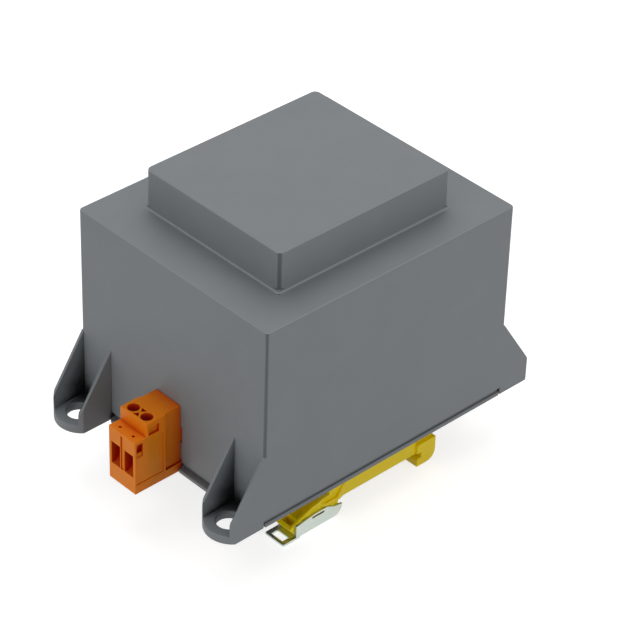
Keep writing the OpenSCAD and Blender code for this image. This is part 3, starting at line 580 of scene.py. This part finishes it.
def wound_turns() -> NodeRecipe:
    """Make the tree that lays turns of round wire side by side along Y, on a given outline.

    Returns:
        The recipe with the inputs Turns, Pitch and Wire Radius.
    """
    recipe = NodeRecipe("wound_turns", {"Turns": "NodeSocketInt", "Pitch": "NodeSocketFloat",
                                        "Wire Radius": "NodeSocketFloat"})
    tree, given = recipe.tree, recipe.given
    path = add_node(tree, "GeometryNodeMeshToCurve", {"Mesh": given["Geometry"]})
    section = add_node(tree, "GeometryNodeCurvePrimitiveCircle",
                       {"Radius": given["Wire Radius"]}, {"Resolution": WIRE_SIDES})
    turn = add_node(tree, "GeometryNodeCurveToMesh",
                    {"Curve": path.outputs[0], "Profile Curve": section.outputs[0]})
    step = add_node(tree, "ShaderNodeCombineXYZ", {"Y": given["Pitch"]})
    line = add_node(tree, "GeometryNodeMeshLine",
                    {"Count": given["Turns"], "Offset": step.outputs[0]})
    coil = add_node(tree, "GeometryNodeInstanceOnPoints",
                    {"Points": line.outputs[0], "Instance": turn.outputs[0]})
    recipe.close(coil.outputs[0])
    return recipe


def helical_wire() -> NodeRecipe:
    """Make the tree that coils a wire up the Z axis, for springs and for screw threads.

    Returns:
        The recipe with the inputs Turns, Coil Radius, Height, Wire Radius and Sides.
    """
    recipe = NodeRecipe("helical_wire", {
        "Turns": "NodeSocketFloat", "Coil Radius": "NodeSocketFloat", "Height": "NodeSocketFloat",
        "Wire Radius": "NodeSocketFloat", "Sides": "NodeSocketInt"})
    tree, given = recipe.tree, recipe.given
    spiral = add_node(tree, "GeometryNodeCurveSpiral",
                      {"Rotations": given["Turns"], "Start Radius": given["Coil Radius"],
                       "End Radius": given["Coil Radius"], "Height": given["Height"]},
                      {"Resolution": TURN_STEPS})
    section = add_node(tree, "GeometryNodeCurvePrimitiveCircle",
                       {"Resolution": given["Sides"], "Radius": given["Wire Radius"]})
    wire = add_node(tree, "GeometryNodeCurveToMesh",
                    {"Curve": spiral.outputs[0], "Profile Curve": section.outputs[0]},
                    {"Fill Caps": True})
    recipe.close(wire.outputs[0])
    return recipe


def new_piece(name: str, points: Sequence[Sequence[float]] = (),
              edges: Sequence[Sequence[int]] = (),
              faces: Sequence[Sequence[int]] = ()) -> bpy.types.Object:
    """Add an object with a mesh of its own.

    Args:
        name: Its name.
        points: Corner points in metres.
        edges: Pairs of corners.
        faces: Faces as lists of corners.

    Returns:
        The new object, linked to the scene.
    """
    mesh = bpy.data.meshes.new(name)
    mesh.from_pydata(list(points), list(edges), list(faces))
    piece = bpy.data.objects.new(name, mesh)
    bpy.context.scene.collection.objects.link(piece)
    return piece


def rounded_outline(half_x: float, half_z: float, radius: float,
                    steps: int = 5) -> list[tuple[float, float]]:
    """Return the points of a rounded rectangle about the origin, in X and Z.

    Args:
        half_x: Half its width.
        half_z: Half its height.
        radius: Radius of its corners.
        steps: Segments in a corner.

    Returns:
        The points in order.
    """
    centres = ((1, 1, 0), (-1, 1, 90), (-1, -1, 180), (1, -1, 270))
    return [(sx * (half_x - radius) + radius * math.cos(math.radians(start + 90 * k / steps)),
             sz * (half_z - radius) + radius * math.sin(math.radians(start + 90 * k / steps)))
            for sx, sz, start in centres for k in range(steps + 1)]


@dataclass
class Workshop:
    """What every sub-assembly needs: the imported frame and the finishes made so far."""

    frame: dict[str, Any]
    made: dict[str, bpy.types.Material] = field(default_factory=dict)
    recipes: dict[str, NodeRecipe] = field(default_factory=dict)

    def recipe(self, build: Callable[[], NodeRecipe]) -> NodeRecipe:
        """Find a geometry tree, or build it the first time that it is asked for.

        Args:
            build: The function that makes it.

        Returns:
            The one recipe of that function.
        """
        if build.__name__ not in self.recipes:
            self.recipes[build.__name__] = build()
        return self.recipes[build.__name__]

    def material(self, finish: MouldedPlastic | PlatedMetal) -> bpy.types.Material:
        """Find a finish's material, or build it the first time that it is asked for.

        Args:
            finish: The finish.

        Returns:
            Its one material.
        """
        if finish.name not in self.made:
            self.made[finish.name] = finish.make()
        return self.made[finish.name]

    def settle(self, piece: bpy.types.Object, node: str, body: str, slot: str) -> None:
        """Ride a piece on a body and let it stand for a node.

        Args:
            piece: The finished piece.
            node: The node that it replaces.
            body: The body it rides on.
            slot: The record's material slot; not used.
        """
        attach(piece, body)
        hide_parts(node)

    def node(self, name: str) -> bpy.types.Object:
        """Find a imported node.

        Args:
            name: The node's name.

        Returns:
            Its object.
        """
        return self.frame["nodes"][name]

    def keep(self, names: Sequence[str], finish: MouldedPlastic | PlatedMetal) -> None:
        """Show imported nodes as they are, in a finish.

        Args:
            names: The nodes.
            finish: Their finish.
        """
        for name in names:
            dress(self.node(name), self.material(finish))
            LOG.info("kept %s in %s", name, finish.name)

    def round_over(self, name: str, body: str, finish: MouldedPlastic | PlatedMetal, slot: str,
                   width_mm: float, segments: int = 2,
                   reshape: Callable[[bpy.types.Object], None] | None = None) -> None:
        """Replace a node with a copy whose edges are rounded.

        Args:
            name: The node.
            body: The body it rides on.
            finish: Its finish.
            slot: The record's material slot.
            width_mm: Width of the rounding.
            segments: Faces across the rounding.
            reshape: Work on the copy before its edges are rounded.
        """
        piece = plain_copy(self.node(name), name + "_rounded")
        if reshape:
            reshape(piece)
        soften(piece, width_mm, segments)
        dress(piece, self.material(finish))
        self.settle(piece, name, body, slot)
        LOG.info("rounded %s: %d faces in %s", name, len(piece.data.polygons), finish.name)


@dataclass
class Enclosure:
    """The moulded case with its lugs, and the plate that closes it below.

    Attributes:
        edge_mm, plate_edge_mm: Roundings of the case's and the plate's edges.
        solid_mm: The solid's own rounding of the upper rims and upright corners.
        corner_mm: Radius of the crown's upright corners.
        body_mm, crown_mm: Half sizes in X and Y and the top of the body and of the crown.
        crown_foot_mm: Height above which the crown's wall stands free.
    """

    shop: Workshop
    edge_mm: float = 0.5
    plate_edge_mm: float = 0.3
    solid_mm: float = 1.4
    corner_mm: float = 2.1
    body_mm: tuple[float, float, float] = (52.5, 44.1, 74.5)
    crown_mm: tuple[float, float, float] = (36.0, 31.0, 89.0)
    crown_foot_mm: float = 75.3

    def sharpen_rims(self, piece: bpy.types.Object) -> None:
        """Draw the upper rims tighter than in the solid, with rounder corners on the crown.

        The solid's rounding is laid flat into the upper face, so that soften() can give the
        rims the small radius of the photo.

        Args:
            piece: The copy of the case.
        """
        crown_x, crown_y, _ = self.crown_mm
        work = bmesh.new()
        work.from_mesh(piece.data)
        for point in work.verts:
            x, y, z = point.co / MM
            for half_x, half_y, top in (self.body_mm, self.crown_mm):
                rim = max(abs(x) - half_x, abs(y) - half_y) > -self.solid_mm - LEVEL_MM
                if rim and top - self.solid_mm - LEVEL_MM < z < top + LEVEL_MM:
                    point.co.z = top * MM
            out_x, out_y = abs(x) - crown_x + self.solid_mm, abs(y) - crown_y + self.solid_mm
            reach = math.hypot(out_x, out_y)
            if z > self.crown_foot_mm and min(out_x, out_y) > -LEVEL_MM and reach > LEVEL_MM:
                scale = self.corner_mm * min(1.0, reach / self.solid_mm) / reach
                new_x = crown_x - self.corner_mm + out_x * scale
                new_y = crown_y - self.corner_mm + out_y * scale
                point.co.x = math.copysign(new_x, x) * MM
                point.co.y = math.copysign(new_y, y) * MM
        for top in (self.body_mm[2] * MM, self.crown_mm[2] * MM):
            level = {point for point in work.verts if abs(point.co.z - top) < LEVEL_MM * MM}
            flat = [face for face in work.faces if level.issuperset(face.verts)]
            bmesh.ops.delete(work, geom=flat, context="FACES")
            rim = [edge for edge in work.edges if edge.is_boundary]
            bmesh.ops.triangle_fill(work, use_beauty=True, use_dissolve=True, edges=rim,
                                    normal=(0, 0, 1))
        bmesh.ops.recalc_face_normals(work, faces=work.faces)
        work.to_mesh(piece.data)
        work.free()

    def build(self) -> None:
        """Round the sharp edges of the case and dress both mouldings."""
        self.shop.round_over("case_shell", Body.CASE.value, CASE_GREY, "case_plastic",
                             self.edge_mm, 3, reshape=self.sharpen_rims)
        self.shop.round_over("base_plate", Body.CASE.value, PLATE_GREY, "plate_plastic",
                             self.plate_edge_mm)


@dataclass
class Interior:
    """Core, coil and leads in the potting resin."""

    shop: Workshop
    sheet_mm: float = 0.5
    sheet_gap_mm: float = 0.04
    stagger_mm: float = 0.03
    tube_half_mm: tuple[float, float] = (17.7, 24.2)
    tube_corner_mm: float = 0.3
    coil_corner_mm: float = 7.0
    wire_share: float = 0.96

    def build_core(self, name: str) -> None:
        """Stack a core half from sheets that are stamped from the outline of its solid.

        Args:
            name: The node of the core half.
        """
        piece = plain_copy(self.shop.node(name), name + "_sheets")
        low, high = (corner[2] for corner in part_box(name))
        work = bmesh.new()
        work.from_mesh(piece.data)
        above = [f for f in work.faces if f.calc_center_median().z > low + LEVEL_MM * MM]
        bmesh.ops.delete(work, geom=above, context="FACES")
        work.to_mesh(piece.data)
        work.free()
        thickness = piece.modifiers.new("sheet", "SOLIDIFY")
        thickness.thickness = (self.sheet_mm - self.sheet_gap_mm) * MM
        thickness.offset = -1
        count = round((high - low) / (self.sheet_mm * MM))
        self.shop.recipe(stacked_sheets).apply(
            piece, self.shop.material(SILICON_STEEL), Sheets=count, Pitch=(high - low) / count,
            Stagger=self.stagger_mm * MM)
        self.shop.settle(piece, name, Body.CASE.value, "lamination_steel")

    def build_winding(self, winding: Winding) -> None:
        """Wind the outer layer of a winding over a block of the layers below it.

        Args:
            winding: Which winding.
        """
        name, wire_mm = winding.value
        low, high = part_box(name)
        half_x, half_z = (high[0] - low[0]) / 2, (high[2] - low[2]) / 2
        mid_x, mid_z = (high[0] + low[0]) / 2, (high[2] + low[2]) / 2
        wire, corner = wire_mm * MM, self.coil_corner_mm * MM
        outer = rounded_outline(half_x - wire, half_z - wire, corner - wire)
        inner = rounded_outline(self.tube_half_mm[0] * MM, self.tube_half_mm[1] * MM,
                                self.tube_corner_mm * MM)
        rings = ((outer, low[1]), (outer, high[1]), (inner, high[1]), (inner, low[1]))
        count = len(outer)
        points = [(mid_x + x, y, mid_z + z) for ring, y in rings for x, z in ring]
        faces = [(a * count + k, b * count + k, b * count + (k + 1) % count,
                  a * count + (k + 1) % count)
                 for a, b in ((0, 1), (1, 2), (2, 3), (3, 0)) for k in range(count)]
        block = new_piece(name + "_layers", points, (), faces)
        dress(block, self.shop.material(ENAMELLED_COPPER))
        self.shop.settle(block, name, Body.CASE.value, "enamelled_copper")
        turns = int((high[1] - low[1]) / wire)
        first = (low[1] + high[1]) / 2 - (turns - 1) * wire / 2
        path = rounded_outline(half_x - wire / 2, half_z - wire / 2, corner - wire / 2)
        coil = new_piece(name + "_turns", [(mid_x + x, first, mid_z + z) for x, z in path],
                         [(k, (k + 1) % len(path)) for k in range(len(path))])
        self.shop.recipe(wound_turns).apply(
            coil, self.shop.material(ENAMELLED_COPPER), Turns=turns, Pitch=wire,
            **{"Wire Radius": self.wire_share * wire / 2})
        coil.data.shade_smooth()
        self.shop.settle(coil, name, Body.CASE.value, "enamelled_copper")

    def build(self) -> None:
        """Build the core and the coil and dress the rest inside the case."""
        for name in ("core_e_stack", "core_i_stack"):
            self.build_core(name)
        for winding in Winding:
            self.build_winding(winding)
        self.shop.keep(["coil_bobbin"], BOBBIN_NATURAL)
        self.shop.keep(["primary_tape", "secondary_tape"], TAPE_YELLOW)
        self.shop.keep(["potting_compound"], POTTING_BLACK)
        self.shop.keep(["primary_leads"], LEAD_BLUE)
        self.shop.keep(["secondary_leads"], LEAD_RED)


@dataclass
class ClampTerminal:
    """One two-pole terminal: housing, screws, cages and contact bars."""

    shop: Workshop
    side: str
    edge_mm: float = 0.18
    screw_edge_mm: float = 0.08
    head_mm: float = 1.2
    thread_d_mm: float = 3.0
    thread_depth_mm: float = 0.28
    thread_pitch_mm: float = 0.5
    thread_sides: int = 4
    shank_margin_mm: float = 0.05

    def build_screw(self, pole: int) -> None:
        """Cut a thread into the shank of a clamp screw, under its slotted head.

        Args:
            pole: Number of the pole.
        """
        name = f"{self.side}_clamp_screw_{pole}"
        low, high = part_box(name)
        axis_x, axis_y = (low[0] + high[0]) / 2, (low[1] + high[1]) / 2
        seat = high[2] - self.head_mm * MM
        outer = self.thread_d_mm / 2
        core = outer - self.thread_depth_mm
        shank = plain_copy(self.shop.node(name), name + "_shank")
        for corner in shank.data.vertices:
            out_x, out_y = corner.co.x - axis_x, corner.co.y - axis_y
            on_shank = math.hypot(out_x, out_y) < (outer + self.shank_margin_mm) * MM
            if corner.co.z < seat + LEVEL_MM * MM and on_shank:
                corner.co.x = axis_x + out_x * core / outer
                corner.co.y = axis_y + out_y * core / outer
        soften(shank, self.screw_edge_mm, 1)
        dress(shank, self.shop.material(ZINC_SCREW))
        height = seat - low[2] - self.thread_depth_mm * MM
        thread = new_piece(name + "_thread")
        ridge = self.thread_depth_mm / 2
        self.shop.recipe(helical_wire).apply(
            thread, self.shop.material(ZINC_SCREW), Turns=height / (self.thread_pitch_mm * MM),
            Height=height, Sides=self.thread_sides,
            **{"Coil Radius": (core + ridge) * MM, "Wire Radius": ridge * MM})
        thread.data.transform(Matrix.Translation((axis_x, axis_y, low[2] + ridge * MM)))
        for piece in (shank, thread):
            self.shop.settle(piece, name, f"{self.side}_screw_{pole}", "zinc_plated_screw")

    def build(self) -> None:
        """Round the housing, thread the screws and dress the other clamp parts."""
        self.shop.round_over(f"{self.side}_terminal_housing", Body.CASE.value, TERMINAL_ORANGE,
                             "terminal_plastic", self.edge_mm)
        for pole in (1, 2):
            self.build_screw(pole)
            self.shop.keep([f"{self.side}_clamp_cage_{pole}"], CAGE_BRASS)
            self.shop.keep([f"{self.side}_contact_bar_{pole}"], TINNED_BAR)


@dataclass
class RailFoot:
    """One rail foot with its screws, its sprung slider and the spring."""

    shop: Workshop
    side: str
    slider_body: Body
    edge_mm: float = 0.25
    sheet_edge_mm: float = 0.07
    spring_turns: float = 5.0
    spring_wire_mm: float = 0.5
    travel_mm: float = 3.5

    def build_spring(self) -> None:
        """Coil the slider's spring at rest; the real one shortens as the slider is pulled out."""
        name = f"{self.side}_slider_spring"
        low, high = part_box(name)
        wire = self.spring_wire_mm * MM
        length = high[0] - low[0] - wire
        spring = new_piece(name + "_coil")
        self.shop.recipe(helical_wire).apply(
            spring, self.shop.material(SPRING_WIRE), Turns=self.spring_turns, Height=length,
            Sides=WIRE_SIDES,
            **{"Coil Radius": (high[1] - low[1] - wire) / 2, "Wire Radius": wire / 2})
        centre = Matrix.Translation((low[0] + wire / 2, (low[1] + high[1]) / 2,
                                     (low[2] + high[2]) / 2))
        spring.data.transform(centre @ Matrix.Rotation(math.radians(90), 4, "Y"))
        spring.data.shade_smooth()
        self.shop.settle(spring, name, Body.CASE.value, "spring_steel")
        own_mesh(spring)

    def build(self) -> None:
        """Round the foot and the slider, coil the spring and dress the screws."""
        self.shop.round_over(f"{self.side}_rail_foot", Body.CASE.value, FOOT_YELLOW,
                             "foot_plastic", self.edge_mm)
        self.shop.round_over(f"{self.side}_rail_slider", self.slider_body.value, ZINC_SHEET,
                             "slider_steel", self.sheet_edge_mm, 1)
        self.shop.keep([f"{self.side}_foot_screws"], ZINC_SCREW)
        self.build_spring()


@dataclass(frozen=True)
class PhotoCamera:
    """The camera that took the picture, solved from the edges of the case."""

    azimuth_deg: float = -43.97
    elevation_deg: float = 35.85
    roll_deg: float = 1.87
    offset_mm: tuple[float, float, float] = (-9.03, 25.0005, 960.96)
    focal_pixels: float = 2926.7
    frame_pixels: float = 640.0
    sensor_mm: float = 36.0

    def axes(self) -> Matrix:
        """Work out how the camera is turned.

        Returns:
            The rows right, down and forward of the camera.
        """
        azimuth, elevation = math.radians(self.azimuth_deg), math.radians(self.elevation_deg)
        forward = -Vector((math.sin(azimuth) * math.cos(elevation),
                           -math.cos(azimuth) * math.cos(elevation), math.sin(elevation)))
        right = forward.cross(Vector((0, 0, 1))).normalized()
        down = forward.cross(right)
        cos, sin = math.cos(math.radians(self.roll_deg)), math.sin(math.radians(self.roll_deg))
        return Matrix((cos * right - sin * down, sin * right + cos * down, forward))

    def place(self) -> None:
        """Add the camera to the scene and make it the scene's camera."""
        rows = self.axes()
        centre = -(rows.transposed() @ Vector(self.offset_mm)) * MM
        turn = Matrix((rows[0], -rows[1], -rows[2])).transposed()
        data = bpy.data.cameras.new("photo_camera")
        data.sensor_width = self.sensor_mm
        data.lens = self.focal_pixels / self.frame_pixels * self.sensor_mm
        data.clip_start, data.clip_end = 0.01, 10.0
        camera = bpy.data.objects.new("photo_camera", data)
        camera.matrix_world = Matrix.Translation(centre) @ turn.to_4x4()
        bpy.context.scene.collection.objects.link(camera)
        bpy.context.scene.camera = camera


@dataclass(frozen=True)
class Softbox:
    """A square lamp: its place and its side in metres, and its power in watts."""

    name: str
    place: tuple[float, float, float]
    side: float
    power: float


SOFTBOXES = (
    Softbox("top_softbox", (0.24, 0.3, 1.06), 1.3, 7.1),
    Softbox("left_softbox", (-1.25, -0.1, 0.35), 0.9, 4.28),
    Softbox("right_softbox", (0.2, -1.25, 0.35), 0.9, 4.28),
)


def seen_by_eye(tree: bpy.types.NodeTree) -> tuple[Any, Any]:
    """Tell the rays that show a surface from those that only light others.

    Args:
        tree: The node tree of a world or a material.

    Returns:
        The light path node and the socket that is 1 for camera and glossy rays.
    """
    path = add_node(tree, "ShaderNodeLightPath")
    seen = add_node(tree, "ShaderNodeMath", {0: path.outputs["Is Camera Ray"],
                                             1: path.outputs["Is Glossy Ray"]},
                    operation="MAXIMUM")
    return path, seen.outputs[0]


@dataclass
class Studio:
    """White sweep and soft lamps of a product picture.

    Attributes:
        world_level: Strength of the grey light from all round.
        floor_albedo: Grey of the floor, which keeps the part's shadow.
        floor_glow: What the eye sees on top of it, so that the open floor is white.
        floor_half: Half the side of the floor in metres.
        aim: The middle of the part, which the lamps are turned to.
        softboxes: The lamps.
    """

    world_level: float = 0.25
    floor_albedo: float = 0.68
    floor_glow: float = 0.72
    floor_half: float = 4.0
    aim: tuple[float, float, float] = (0.0, 0.0, 0.04)
    softboxes: Sequence[Softbox] = SOFTBOXES

    def build_world(self) -> None:
        """White background for the eye and for reflections, soft grey light for the rest."""
        world = bpy.data.worlds.new("studio")
        world.use_nodes = True
        bpy.context.scene.world = world
        tree = world.node_tree
        tree.nodes.clear()
        path, seen = seen_by_eye(tree)
        either = add_node(tree, "ShaderNodeMath", {0: seen,
                                                   1: path.outputs["Is Transmission Ray"]},
                          operation="MAXIMUM")
        ambient = add_node(tree, "ShaderNodeBackground", None,
                           {"Color": (1, 1, 1, 1), "Strength": self.world_level})
        white = add_node(tree, "ShaderNodeBackground", None,
                         {"Color": (1, 1, 1, 1), "Strength": 1.0})
        both = add_node(tree, "ShaderNodeMixShader", {0: either.outputs[0],
                                                      1: ambient.outputs[0], 2: white.outputs[0]})
        add_node(tree, "ShaderNodeOutputWorld", {"Surface": both.outputs[0]})

    def build_floor(self, height: float) -> None:
        """Lay the white floor under the part.

        Args:
            height: Height of the floor.
        """
        half = self.floor_half
        floor = new_piece("studio_floor",
                          [(-half, -half, height), (half, -half, height), (half, half, height),
                           (-half, half, height)], (), [(0, 1, 2, 3)])
        material = bpy.data.materials.new("studio_floor_white")
        material.use_nodes = True
        tree = material.node_tree
        tree.nodes.clear()
        _, seen = seen_by_eye(tree)
        matt = add_node(tree, "ShaderNodeBsdfDiffuse", None,
                        {"Color": (self.floor_albedo,) * 3 + (1,)})
        glow = add_node(tree, "ShaderNodeEmission", None, {"Strength": self.floor_glow})
        dark = add_node(tree, "ShaderNodeEmission", None, {"Strength": 0.0})
        shown = add_node(tree, "ShaderNodeMixShader", {0: seen, 1: dark.outputs[0],
                                                       2: glow.outputs[0]})
        total = add_node(tree, "ShaderNodeAddShader", {0: matt.outputs[0], 1: shown.outputs[0]})
        add_node(tree, "ShaderNodeOutputMaterial", {"Surface": total.outputs[0]})
        dress(floor, material)
        floor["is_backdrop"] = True

    def build_lamps(self) -> None:
        """Hang the softboxes, each turned to the middle of the part."""
        for box in self.softboxes:
            data = bpy.data.lights.new(box.name, "AREA")
            data.size = box.side
            data.energy = box.power
            lamp = bpy.data.objects.new(box.name, data)
            turn = (Vector(box.place) - Vector(self.aim)).to_track_quat("Z", "Y")
            lamp.matrix_world = Matrix.Translation(box.place) @ turn.to_matrix().to_4x4()
            bpy.context.scene.collection.objects.link(lamp)

    def build(self, floor_height: float) -> None:
        """Build the whole studio.

        Args:
            floor_height: Height of the floor.
        """
        self.build_world()
        self.build_floor(floor_height)
        self.build_lamps()
        bpy.context.scene.view_settings.view_transform = "Standard"


def as_lists(corners: Any) -> list[Any]:
    """Turn nested corners into plain lists of numbers.

    Args:
        corners: Two corners, each with three coordinates.

    Returns:
        The same numbers, which JSON can hold.
    """
    return [[float(v) for v in corner] for corner in corners]


def main() -> None:
    """Build the camera, the studio and every sub-assembly, with the floor under the solid's box."""
    logging.basicConfig(level=logging.INFO, format="%(name)s: %(message)s")
    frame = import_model()
    solid_box = as_lists(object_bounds())
    PhotoCamera().place()
    shop = Workshop(frame)
    Enclosure(shop).build()
    Interior(shop).build()
    for side in ("mains", "load"):
        ClampTerminal(shop, side).build()
    RailFoot(shop, "front", Body.FRONT_SLIDER).build()
    RailFoot(shop, "rear", Body.REAR_SLIDER).build()
    Studio().build(solid_box[0][2] - FLOOR_GAP_MM * MM)


if __name__ == "__main__":
    main()
